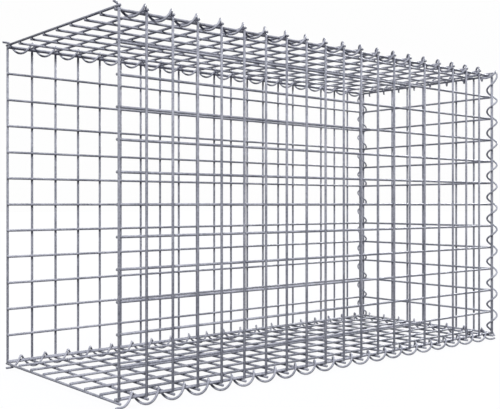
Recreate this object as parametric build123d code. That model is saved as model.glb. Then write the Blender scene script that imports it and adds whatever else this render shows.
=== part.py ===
from build123d import *
import math
import os

# Open-ended welded-mesh gabion basket, laced along its edges with binding spirals.
# Frame: +X along the length towards the closed end, +Y from front to back, +Z up,
# with the origin in the middle of the underside. All lengths are in millimetres.

# Basket, from wire centre to wire centre
basket_length = 1000.0
basket_depth = 400.0
basket_height = 600.0

# Mesh
mesh_pitch = 50.0
mesh_wire = 4.5
wire_overhang = 2.0

# Binding spirals
spiral_wire = 4.0
spiral_outside = 26.0
spiral_rise = 3.0

# Spiral ends, drawn out along the axis
tail_length = 14.5
hook_length = 11.25
lap_length = 35.5
corner_length = 26.5

# Fits
seat_gap = 0.3

# Wire sections: a hexagon with its flats towards the crossing layer
half_wire = mesh_wire / 2
wire_corner = half_wire / math.cos(math.pi / 6)
spiral_corner = spiral_wire / 2 / math.cos(math.pi / 6)

# Whole meshes of the grid
length_cells = round(basket_length / mesh_pitch)
depth_cells = round(basket_depth / mesh_pitch)
height_cells = round(basket_height / mesh_pitch)
grid_length = length_cells * mesh_pitch
grid_depth = depth_cells * mesh_pitch
grid_height = height_cells * mesh_pitch

# Uprights: long wires on the grid, upright wires outside them
upright_y = grid_depth / 2 + half_wire
upright_wire_y = upright_y + half_wire
end_x = grid_length / 2 + wire_overhang + seat_gap + mesh_wire
end_wire_x = end_x + half_wire

# Lid and base: cross wires lie on the uprights' edge wires, edge wires lie beside them
flat_above_edge = wire_corner + seat_gap
cross_above_edge = flat_above_edge + half_wire
long_above_edge = flat_above_edge - half_wire
edge_inset = half_wire + seat_gap + wire_corner
cross_reach = upright_wire_y + half_wire + wire_overhang

# Spirals: eight straight steps a turn, clear of the wires in the bore by the seat gap
spiral_bore = spiral_outside / 2 - spiral_wire
spiral_reach = (spiral_bore + spiral_corner) / math.cos(math.pi / 8)
grip = spiral_bore - wire_corner - seat_gap
long_y = grid_depth / 2 - edge_inset + math.sqrt(grip**2 - (spiral_rise - long_above_edge) ** 2)
short_x = grid_length / 2 + math.sqrt(grip**2 - (cross_above_edge - spiral_rise) ** 2)
corner_angle = math.atan2(upright_wire_y - grid_depth / 2, end_wire_x - grid_length / 2)
corner_x = grid_length / 2 + grip * math.cos(corner_angle)
corner_y = upright_wire_y - grip * math.sin(corner_angle)

# Heights, from the ground under the lower spirals' corners
bend = math.hypot(mesh_pitch / 8, 2 * spiral_reach * math.sin(math.pi / 8))
mitre = math.sqrt(1 - (spiral_reach * (1 - math.cos(math.pi / 4)) / bend) ** 2)
low_edge_z = spiral_rise + spiral_reach + spiral_corner / mitre
high_edge_z = low_edge_z + grid_height
middle_z = (low_edge_z + high_edge_z) / 2


def wire_bar(middle, along, across, length):
    """A straight mesh wire whose corners point across the layer."""
    start = middle - along * (length / 2)
    section = Plane(start, x_dir=across, z_dir=along) * RegularPolygon(wire_corner, 6)
    return extrude(section, length)


def mesh_panel(place, cells_along, cells_up, inset, cross_half):
    """Welded panel: long wires on the inner side, cross wires on the outer side."""
    long_length = cells_along * mesh_pitch + 2 * wire_overhang
    rows = [(row - cells_up / 2) * mesh_pitch for row in range(cells_up + 1)]
    rows[0] += inset
    rows[-1] -= inset
    bars = []
    for up in rows:
        bars.append(wire_bar(Vector(0, up, -half_wire), Vector(1, 0, 0), Vector(0, 1, 0), long_length))
    for column in range(cells_along + 1):
        out = (column - cells_along / 2) * mesh_pitch
        bars.append(wire_bar(Vector(out, 0, half_wire), Vector(0, 1, 0), Vector(1, 0, 0), 2 * cross_half))
    panel = bars[0].fuse(*bars[1:])
    return place * panel


def binding_spiral(start, along, crown, hand, even, head, tail):
    """Spiral of one turn per mesh, with its crown on each wire of the mesh it laces.

    It is even between the two given eighths of a turn. Its head and tail are drawn out:
    each gives a length along the axis, and the eighths that the wire turns on by.
    """
    side = along.cross(crown)
    first, last = even

    def place(eighths, ahead):
        angle = hand * math.tau * eighths / 8
        radial = crown * math.cos(angle) + side * math.sin(angle)
        return start + along * ahead + radial * spiral_reach

    def drawn_out(end, way, length, eighths):
        steps = max(1, math.ceil(eighths)) if length else 0
        shares = [way * step / steps for step in range(1, steps + 1)]
        return [place(end + eighths * share, end * mesh_pitch / 8 + length * share) for share in shares]

    coil = [place(step, step * mesh_pitch / 8) for step in range(first, last + 1)]
    points = drawn_out(first, -1, *head)[::-1] + coil + drawn_out(last, 1, *tail)
    section = Plane(points[0], z_dir=points[1] - points[0]) * RegularPolygon(spiral_corner, 6)
    return sweep(section, Polyline(*points), transition=Transition.RIGHT)


def save(node, shape):
    shape.label = node
    export_step(shape, f"parts/{node}.step")


os.makedirs("parts", exist_ok=True)

front_place = Plane((0, -upright_y, middle_z), x_dir=(1, 0, 0), z_dir=(0, -1, 0))
back_place = Plane((0, upright_y, middle_z), x_dir=(-1, 0, 0), z_dir=(0, 1, 0))
end_place = Plane((end_x, 0, middle_z), x_dir=(0, 1, 0), z_dir=(1, 0, 0))
base_place = Plane((0, 0, low_edge_z - flat_above_edge), x_dir=(1, 0, 0), z_dir=(0, 0, -1))
lid_place = Plane((0, 0, high_edge_z + flat_above_edge), x_dir=(1, 0, 0), z_dir=(0, 0, 1))

upright_half = grid_height / 2 + wire_overhang
save("front_panel", mesh_panel(front_place, length_cells, height_cells, 0, upright_half))
save("back_panel", mesh_panel(back_place, length_cells, height_cells, 0, upright_half))
save("end_panel", mesh_panel(end_place, depth_cells, height_cells, 0, upright_half))
save("base_panel", mesh_panel(base_place, length_cells, depth_cells, edge_inset, cross_reach))
save("lid_panel", mesh_panel(lid_place, length_cells, depth_cells, edge_inset, cross_reach))

# Long spirals, along the four edges between the uprights and the lid and base
x_axis, y_axis, z_axis = Vector(1, 0, 0), Vector(0, 1, 0), Vector(0, 0, 1)
left_handed, right_handed = -1, 1
length_eighths, depth_eighths, height_eighths = (8 * cells for cells in (length_cells, depth_cells, height_cells))
levels = {"top": (high_edge_z + spiral_rise, z_axis), "bottom": (low_edge_z - spiral_rise, -z_axis)}
plain_end = (0, 0)
straight_end = (tail_length, 0)
curled_end = (tail_length, 2)
whole_length = (1, length_eighths - 1)
long_spirals = (
    ("front", -1, "top", (1, length_eighths - 4), (hook_length, 0.5), (lap_length, 3)),
    ("back", 1, "top", whole_length, straight_end, straight_end),
    ("front", -1, "bottom", whole_length, straight_end, curled_end),
    ("back", 1, "bottom", whole_length, straight_end, curled_end),
)
for name, side, level, even, head, tail in long_spirals:
    axis_z, crown = levels[level]
    start = Vector(-grid_length / 2, side * long_y, axis_z)
    save(f"{name}_{level}_spiral", binding_spiral(start, x_axis, crown, left_handed, even, head, tail))

# Upright spirals, at the two corners of the closed end
for name, side, hand in (("front", -1, right_handed), ("back", 1, left_handed)):
    start = Vector(corner_x, side * corner_y, low_edge_z)
    even = (1, height_eighths - 3)
    coil = binding_spiral(start, z_axis, x_axis, hand, even, (tail_length, 1), (corner_length, 2.5))
    save(f"end_{name}_spiral", coil)

# Short spirals, along the closed end's upper and lower edges
for level, hand in (("top", left_handed), ("bottom", right_handed)):
    axis_z, crown = levels[level]
    start = Vector(short_x, -grid_depth / 2, axis_z)
    coil = binding_spiral(start, y_axis, crown, hand, (3, depth_eighths - 3), plain_end, plain_end)
    save(f"end_{level}_spiral", coil)
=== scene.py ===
import bpy
import math
import mathutils
import numpy as np
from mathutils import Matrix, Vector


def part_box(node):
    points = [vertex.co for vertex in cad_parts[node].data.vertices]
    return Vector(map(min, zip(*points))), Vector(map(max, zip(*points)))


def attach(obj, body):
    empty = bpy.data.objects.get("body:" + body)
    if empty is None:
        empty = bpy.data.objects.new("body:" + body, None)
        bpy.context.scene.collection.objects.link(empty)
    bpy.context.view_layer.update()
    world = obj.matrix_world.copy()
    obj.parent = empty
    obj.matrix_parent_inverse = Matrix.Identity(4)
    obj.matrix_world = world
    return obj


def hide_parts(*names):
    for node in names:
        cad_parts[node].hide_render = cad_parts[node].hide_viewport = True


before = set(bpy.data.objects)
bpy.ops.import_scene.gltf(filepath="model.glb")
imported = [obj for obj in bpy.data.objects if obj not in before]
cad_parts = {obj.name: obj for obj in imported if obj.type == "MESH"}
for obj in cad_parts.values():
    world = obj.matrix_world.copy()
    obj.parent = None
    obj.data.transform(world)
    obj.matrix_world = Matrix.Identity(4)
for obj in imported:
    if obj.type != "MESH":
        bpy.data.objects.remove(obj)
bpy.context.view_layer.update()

# Whole meshes of the grid
LENGTH_CELLS = 20
DEPTH_CELLS = 8
HEIGHT_CELLS = 12

# Sizes of the real wire, in metres. Places come from the frame's boxes.
MESH_PITCH = 0.05
MESH_WIRE = 0.0045
WIRE_OVERHANG = 0.002
EDGE_INSET = 0.005148
BEVEL_SHARE = 1 / 8

# Binding spirals, to the middle of the wire, and their drawn-out ends
SPIRAL_WIRE = 0.004
SPIRAL_RADIUS = 0.011
TAIL_LENGTH = 0.0145
HOOK_LENGTH = 0.01125
LAP_LENGTH = 0.0355
CORNER_LENGTH = 0.0265
TAIL_EASE = 0.0016

# Weld beads: half sizes, lobes, and the turn from one row or column to the next
WELD_RADIUS = 0.0027
WELD_HEIGHT = 0.0012
WELD_LOBES = 4
WELD_LOBE_SHARE = 0.1
ROW_TURN = 2.4
COLUMN_TURN = 1.1

# Camera, found by fitting the mesh's wires in the 500 x 409 frame
IMAGE_WIDTH = 500
FOCAL_PIXELS = 808.1
CAMERA_X = -1.1458
CAMERA_Y = -1.2784
CAMERA_YAW = math.radians(-40.23)
SENSOR_WIDTH = 36.0

# Mesh fineness
WIRE_SIDES = 16
SPIRAL_SIDES = 14
SPIRAL_STEPS = 40
WELD_SIDES = 10
WELD_LEVELS = (-0.75, -0.3, 0.3, 0.75)

# Stage
FLOOR_REACH = 30.0
FLOOR_COLOUR = (0.04, 0.042, 0.056, 1)
FLOOR_GLOW = 0.955
WORLD_COLOUR = (0.75, 0.8, 1, 1)
WORLD_LIGHT = 0.03
WORLD_WHITE = 0.99

X, Y, Z = np.eye(3)


def object_from(name, parts, materials):
    """One joined mesh from (points, faces, material index) triples."""
    points, faces, indices, count = [], [], [], 0
    for part_points, part_faces, index in parts:
        points.extend(np.asarray(part_points).tolist())
        faces.extend([[i + count for i in face] for face in part_faces])
        indices.extend([index] * len(part_faces))
        count += len(part_points)
    mesh = bpy.data.meshes.new(name)
    mesh.from_pydata(points, [], faces)
    mesh.polygons.foreach_set("material_index", indices)
    for material in materials:
        mesh.materials.append(material)
    mesh.shade_smooth()
    piece = bpy.data.objects.new(name, mesh)
    bpy.context.collection.objects.link(piece)
    return piece


def tube(path, radii, sides):
    """Closed tube round a path, with a radius for each of its points."""
    path = np.asarray(path, float)
    tangents = np.gradient(path, axis=0)
    tangents /= np.linalg.norm(tangents, axis=1)[:, None]
    seed = X if abs(tangents[0] @ X) < 0.5 else Y
    normal = np.cross(tangents[0], np.cross(seed, tangents[0]))
    angles = np.arange(sides) * math.tau / sides
    points = []
    for centre, tangent, radius in zip(path, tangents, radii):
        normal = normal - tangent * (normal @ tangent)
        normal /= np.linalg.norm(normal)
        side = np.cross(tangent, normal)
        ring = np.outer(np.cos(angles), normal) + np.outer(np.sin(angles), side)
        points.append(centre + ring * radius)
    rings = len(path)
    faces = []
    for ring in range(rings - 1):
        for corner in range(sides):
            following = (corner + 1) % sides
            low, high = ring * sides, (ring + 1) * sides
            faces.append((low + corner, low + following, high + following, high + corner))
    faces.append(tuple(reversed(range(sides))))
    faces.append(tuple(range((rings - 1) * sides, rings * sides)))
    return np.concatenate(points), faces


def capped(path, radius, bevel):
    """Path and radii of a wire whose cut ends have a small bevel."""
    path = np.asarray(path, float)
    first = path[0] - path[1]
    last = path[-1] - path[-2]
    first /= np.linalg.norm(first)
    last /= np.linalg.norm(last)
    inner = np.concatenate([[path[0] - first * bevel], path[1:-1], [path[-1] - last * bevel]])
    line = np.concatenate([[path[0]], inner, [path[-1]]])
    radii = np.full(len(line), radius)
    radii[[0, -1]] = radius - bevel
    return line, radii


def wire(start, end):
    line, radii = capped([start, end], MESH_WIRE / 2, MESH_WIRE * BEVEL_SHARE)
    return (*tube(line, radii, WIRE_SIDES), 0)


def weld(centre, along, up, outward, turn):
    """Squeezed-out bead of a resistance weld, between two crossing wires."""
    first = along * math.cos(turn) + up * math.sin(turn)
    second = np.cross(outward, first)
    points = [centre - outward * WELD_HEIGHT]
    for level in WELD_LEVELS:
        ring = math.sqrt(1 - level * level)
        for corner in range(WELD_SIDES):
            angle = corner * math.tau / WELD_SIDES
            lobe = 1 + WELD_LOBE_SHARE * math.cos(WELD_LOBES * angle + 2 * turn)
            flat = first * math.cos(angle) + second * math.sin(angle)
            points.append(centre + flat * WELD_RADIUS * ring * lobe + outward * WELD_HEIGHT * level)
    points.append(centre + outward * WELD_HEIGHT)
    faces = []
    for corner in range(WELD_SIDES):
        following = (corner + 1) % WELD_SIDES
        faces.append((0, 1 + following, 1 + corner))
        for level in range(len(WELD_LEVELS) - 1):
            low, high = 1 + level * WELD_SIDES, 1 + (level + 1) * WELD_SIDES
            faces.append((low + corner, low + following, high + following, high + corner))
        last = 1 + (len(WELD_LEVELS) - 1) * WELD_SIDES
        faces.append((last + corner, last + following, len(points) - 1))
    return np.array(points), faces, 1


def mesh_panel(node, along, up, outward, cells_along, cells_up, materials):
    """Welded panel that stands for a CAD panel: long wires inside, cross wires outside."""
    low, high = (np.array(corner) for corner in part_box(node))
    middle = (low + high) / 2
    half = (high - low) / 2
    flat = abs(outward[2]) > 0.5
    long_half = cells_along * MESH_PITCH / 2 + WIRE_OVERHANG
    cross_half = half @ abs(up) if flat else cells_up * MESH_PITCH / 2 + WIRE_OVERHANG
    inset = EDGE_INSET if flat else 0.0
    rows = [(row - cells_up / 2) * MESH_PITCH for row in range(cells_up + 1)]
    rows[0] += inset
    rows[-1] -= inset
    columns = [(column - cells_along / 2) * MESH_PITCH for column in range(cells_along + 1)]
    depth = outward * MESH_WIRE / 2
    parts = []
    for row in rows:
        centre = middle - depth + up * row
        parts.append(wire(centre - along * long_half, centre + along * long_half))
    for column in columns:
        centre = middle + depth + along * column
        parts.append(wire(centre - up * cross_half, centre + up * cross_half))
    for i, row in enumerate(rows):
        for j, column in enumerate(columns):
            crossing = middle + up * row + along * column
            parts.append(weld(crossing, along, up, outward, i * ROW_TURN + j * COLUMN_TURN))
    panel = object_from(node.replace("panel", "mesh"), parts, materials)
    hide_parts(node)
    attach(panel, "root")
    return panel


def binding_spiral(node, start, along, crown, hand, even, head, tail, material):
    """Round-wire spiral that stands for a CAD spiral.

    It is even between two places counted in turns. Its head and tail are drawn out: each
    gives a length along the axis, and the turns that the wire goes on by.
    """
    side = np.cross(along, crown)
    first, last = (place * MESH_PITCH for place in even)
    length = head[0] + last - first + tail[0]
    steps = int(length / MESH_PITCH * SPIRAL_STEPS)
    ahead = np.linspace(first - head[0], last + tail[0], steps + 1)
    rate = np.full(len(ahead), math.tau / MESH_PITCH)
    for (drawn, turned), past in ((head, first - ahead), (tail, ahead - last)):
        if drawn:
            drawn_rate = turned * math.tau / drawn
            rate = drawn_rate + (rate - drawn_rate) / (1 + np.exp(past / TAIL_EASE))
    angles = np.concatenate([[0], np.cumsum((rate[1:] + rate[:-1]) / 2 * np.diff(ahead))])
    angles -= np.interp(round(sum(even) / 2) * MESH_PITCH, ahead, angles)
    angles *= hand
    radial = np.outer(np.cos(angles), crown) + np.outer(np.sin(angles), side)
    path = start + np.outer(ahead, along) + radial * SPIRAL_RADIUS
    line, radii = capped(path, SPIRAL_WIRE / 2, SPIRAL_WIRE * BEVEL_SHARE)
    parts = [(*tube(line, radii, SPIRAL_SIDES), 0)]
    spiral = object_from(node.replace("spiral", "coil"), parts, [material])
    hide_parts(node)
    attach(spiral, "root")
    return spiral


def box_middle(node):
    low, high = (np.array(corner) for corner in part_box(node))
    return (low + high) / 2


def zinc(name, dark, light, rough_low, rough_high, metallic):
    """Galvanised steel: cloudy tone, small spangles, uneven gloss and a fine grain."""
    material = bpy.data.materials.new(name)
    material.use_nodes = True
    tree = material.node_tree
    shader = tree.nodes["Principled BSDF"]
    shader.inputs["Metallic"].default_value = metallic
    shader.inputs["Specular IOR Level"].default_value = 0.05
    shader.inputs["Specular Tint"].default_value = (0.35, 0.36, 0.4, 1)
    place = tree.nodes.new("ShaderNodeTexCoord")

    cloud = tree.nodes.new("ShaderNodeTexNoise")
    cloud.inputs["Scale"].default_value = 22.0
    cloud.inputs["Detail"].default_value = 4.0
    cloud.inputs["Roughness"].default_value = 0.6
    tree.links.new(place.outputs["Object"], cloud.inputs["Vector"])

    spangle = tree.nodes.new("ShaderNodeTexVoronoi")
    spangle.inputs["Scale"].default_value = 420.0
    tree.links.new(place.outputs["Object"], spangle.inputs["Vector"])
    grey = tree.nodes.new("ShaderNodeSeparateColor")
    tree.links.new(spangle.outputs["Color"], grey.inputs["Color"])

    tone = tree.nodes.new("ShaderNodeMath")
    tone.operation = "MULTIPLY_ADD"
    tone.inputs[1].default_value = 0.3
    tree.links.new(grey.outputs["Red"], tone.inputs[0])
    tree.links.new(cloud.outputs["Fac"], tone.inputs[2])
    ramp = tree.nodes.new("ShaderNodeValToRGB")
    ramp.color_ramp.elements[0].position = 0.42
    ramp.color_ramp.elements[0].color = (*dark, 1)
    ramp.color_ramp.elements[1].position = 0.88
    ramp.color_ramp.elements[1].color = (*light, 1)
    tree.links.new(tone.outputs[0], ramp.inputs["Fac"])
    tree.links.new(ramp.outputs["Color"], shader.inputs["Base Color"])

    gloss = tree.nodes.new("ShaderNodeMapRange")
    gloss.inputs["From Min"].default_value = 0.4
    gloss.inputs["From Max"].default_value = 0.95
    gloss.inputs["To Min"].default_value = rough_low
    gloss.inputs["To Max"].default_value = rough_high
    tree.links.new(tone.outputs[0], gloss.inputs["Value"])
    tree.links.new(gloss.outputs["Result"], shader.inputs["Roughness"])

    grain = tree.nodes.new("ShaderNodeTexNoise")
    grain.inputs["Scale"].default_value = 900.0
    grain.inputs["Detail"].default_value = 3.0
    tree.links.new(place.outputs["Object"], grain.inputs["Vector"])
    bump = tree.nodes.new("ShaderNodeBump")
    bump.inputs["Strength"].default_value = 0.25
    bump.inputs["Distance"].default_value = 0.0003
    tree.links.new(grain.outputs["Fac"], bump.inputs["Height"])
    tree.links.new(bump.outputs["Normal"], shader.inputs["Normal"])
    return material


# The object
mesh_zinc = zinc("mesh_zinc", (0.27, 0.28, 0.34), (0.54, 0.55, 0.63), 0.3, 0.46, 0.02)
weld_zinc = zinc("weld_zinc", (0.28, 0.29, 0.33), (0.54, 0.55, 0.6), 0.45, 0.65, 0.02)
spiral_zinc = zinc("spiral_zinc", (0.29, 0.3, 0.36), (0.56, 0.57, 0.65), 0.26, 0.42, 0.03)

panels = {
    "front_panel": (X, Z, -Y, LENGTH_CELLS, HEIGHT_CELLS),
    "back_panel": (-X, Z, Y, LENGTH_CELLS, HEIGHT_CELLS),
    "end_panel": (Y, Z, X, DEPTH_CELLS, HEIGHT_CELLS),
    "base_panel": (X, -Y, -Z, LENGTH_CELLS, DEPTH_CELLS),
    "lid_panel": (X, Y, Z, LENGTH_CELLS, DEPTH_CELLS),
}
for node, (along, up, outward, cells_along, cells_up) in panels.items():
    mesh_panel(node, along, up, outward, cells_along, cells_up, [mesh_zinc, weld_zinc])

LEFT, RIGHT = -1, 1
middle_z = box_middle("front_panel")[2]
whole = (0.125, LENGTH_CELLS - 0.125)
plain, straight, curled = (0, 0), (TAIL_LENGTH, 0), (TAIL_LENGTH, 0.25)
long_spirals = {
    "front_top_spiral": (Z, (0.125, LENGTH_CELLS - 0.5), (HOOK_LENGTH, 0.0625), (LAP_LENGTH, 0.375)),
    "back_top_spiral": (Z, whole, straight, straight),
    "front_bottom_spiral": (-Z, whole, straight, curled),
    "back_bottom_spiral": (-Z, whole, straight, curled),
}
for node, (crown, even, head, tail) in long_spirals.items():
    axis = box_middle(node)
    start = np.array([-LENGTH_CELLS / 2 * MESH_PITCH, axis[1], axis[2]])
    binding_spiral(node, start, X, crown, LEFT, even, head, tail, spiral_zinc)
for node, crown, hand in (("end_top_spiral", Z, LEFT), ("end_bottom_spiral", -Z, RIGHT)):
    axis = box_middle(node)
    start = np.array([axis[0], -DEPTH_CELLS / 2 * MESH_PITCH, axis[2]])
    even = (0.375, DEPTH_CELLS - 0.375)
    binding_spiral(node, start, Y, crown, hand, even, plain, plain, spiral_zinc)
for node, hand in (("end_front_spiral", RIGHT), ("end_back_spiral", LEFT)):
    axis = box_middle(node)
    start = np.array([axis[0], axis[1], middle_z - HEIGHT_CELLS / 2 * MESH_PITCH])
    even = (0.125, HEIGHT_CELLS - 0.375)
    head, tail = (TAIL_LENGTH, 0.125), (CORNER_LENGTH, 0.3125)
    binding_spiral(node, start, Z, X, hand, even, head, tail, spiral_zinc)

# Floor, light and camera
floor_mesh = bpy.data.meshes.new("floor")
corners = [(x * FLOOR_REACH, y * FLOOR_REACH, 0) for x, y in ((-1, -1), (1, -1), (1, 1), (-1, 1))]
floor_mesh.from_pydata(corners, [], [(0, 1, 2, 3)])
floor = bpy.data.objects.new("floor", floor_mesh)
bpy.context.collection.objects.link(floor)


def seen_directly(tree):
    """1 on rays from the camera or a mirror or glass, else 0."""
    path = tree.nodes.new("ShaderNodeLightPath")
    either = tree.nodes.new("ShaderNodeMath")
    either.operation = "MAXIMUM"
    tree.links.new(path.outputs["Is Camera Ray"], either.inputs[0])
    tree.links.new(path.outputs["Is Glossy Ray"], either.inputs[1])
    every = tree.nodes.new("ShaderNodeMath")
    every.operation = "MAXIMUM"
    tree.links.new(either.outputs[0], every.inputs[0])
    tree.links.new(path.outputs["Is Transmission Ray"], every.inputs[1])
    return every.outputs[0]


floor_paint = bpy.data.materials.new("floor_paint")
floor_paint.use_nodes = True
tree = floor_paint.node_tree
tree.nodes.clear()
output = tree.nodes.new("ShaderNodeOutputMaterial")
matt = tree.nodes.new("ShaderNodeBsdfDiffuse")
matt.inputs["Color"].default_value = FLOOR_COLOUR
glow = tree.nodes.new("ShaderNodeEmission")
scaled = tree.nodes.new("ShaderNodeMath")
scaled.operation = "MULTIPLY"
scaled.inputs[1].default_value = FLOOR_GLOW
tree.links.new(seen_directly(tree), scaled.inputs[0])
tree.links.new(scaled.outputs[0], glow.inputs["Strength"])
both = tree.nodes.new("ShaderNodeAddShader")
tree.links.new(matt.outputs[0], both.inputs[0])
tree.links.new(glow.outputs[0], both.inputs[1])
tree.links.new(both.outputs[0], output.inputs["Surface"])
floor_mesh.materials.append(floor_paint)

world = bpy.data.worlds.new("studio")
bpy.context.scene.world = world
world.use_nodes = True
tree = world.node_tree
tree.nodes.clear()
output = tree.nodes.new("ShaderNodeOutputWorld")
dim = tree.nodes.new("ShaderNodeBackground")
dim.inputs["Color"].default_value = WORLD_COLOUR
dim.inputs["Strength"].default_value = WORLD_LIGHT
white = tree.nodes.new("ShaderNodeBackground")
white.inputs["Color"].default_value = (1, 1, 1, 1)
white.inputs["Strength"].default_value = WORLD_WHITE
both = tree.nodes.new("ShaderNodeMixShader")
tree.links.new(seen_directly(tree), both.inputs[0])
tree.links.new(dim.outputs[0], both.inputs[1])
tree.links.new(white.outputs[0], both.inputs[2])
tree.links.new(both.outputs[0], output.inputs["Surface"])


def distant(name, direction, spread, energy):
    """Lamp far away, whose light comes in a soft cone."""
    light = bpy.data.lights.new(name, "SUN")
    light.energy = energy
    light.angle = math.radians(spread)
    lamp = bpy.data.objects.new(name, light)
    lamp.rotation_euler = mathutils.Vector(direction).to_track_quat("-Z", "Y").to_euler()
    bpy.context.collection.objects.link(lamp)
    return lamp


distant("key", (0.48, 0.56, -0.68), 30, 2.75)
distant("rim", (-0.87, -0.35, -0.36), 30, 3.0)
distant("sky", (-0.3, 0.3, -1.0), 30, 0.75)

camera_data = bpy.data.cameras.new("camera")
camera_data.sensor_fit = "HORIZONTAL"
camera_data.sensor_width = SENSOR_WIDTH
camera_data.lens = FOCAL_PIXELS / IMAGE_WIDTH * SENSOR_WIDTH
camera = bpy.data.objects.new("camera", camera_data)
camera.location = (CAMERA_X, CAMERA_Y, middle_z)
camera.rotation_euler = (math.pi / 2, 0, CAMERA_YAW)
bpy.context.collection.objects.link(camera)
bpy.context.scene.camera = camera
bpy.context.scene.view_settings.view_transform = "Standard"
